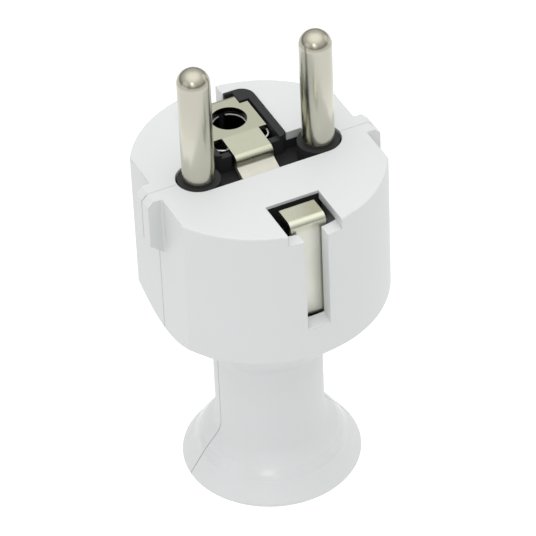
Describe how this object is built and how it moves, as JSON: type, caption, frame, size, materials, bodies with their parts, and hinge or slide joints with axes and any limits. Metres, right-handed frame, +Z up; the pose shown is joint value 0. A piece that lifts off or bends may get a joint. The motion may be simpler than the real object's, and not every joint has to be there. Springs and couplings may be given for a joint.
{
  "type": "earthed mains plug",
  "caption": "Rewirable earthed plug in white half-shells with a neck and flared foot to pull on, round nickel pins, a black insert, folded earth contacts and an earth pin hole.",
  "frame": {"origin": "middle of the foot's underside, on the plug's axis", "axes": "+Z up along the plug's axis towards the pins, X along the line of the two pins, +Y towards the earth pin hole"},
  "size_m": [0.037, 0.037, 0.075],
  "materials": {
    "white_plastic": "satin moulded",
    "black_plastic": "matt moulded",
    "nickel": "nickel plated, polished",
    "zinc_steel": "zinc plated"
  },
  "bodies": {
    "root": {"front_shell": "white_plastic", "rear_shell": "white_plastic", "pin_carrier": "black_plastic", "cord_clamp": "black_plastic", "left_pin": "nickel", "right_pin": "nickel", "earth_strap": "nickel", "front_earth_clip": "nickel", "earth_clamp_washer": "nickel", "earth_terminal_nut": "nickel", "earth_pin_spring": "zinc_steel", "earth_terminal_screw": "zinc_steel", "left_terminal_screw": "zinc_steel", "right_terminal_screw": "zinc_steel", "left_cord_clamp_screw": "zinc_steel", "right_cord_clamp_screw": "zinc_steel", "left_housing_screw": "zinc_steel", "right_housing_screw": "zinc_steel", "left_housing_insert": "zinc_steel", "right_housing_insert": "zinc_steel"}
  },
  "joints": []
}
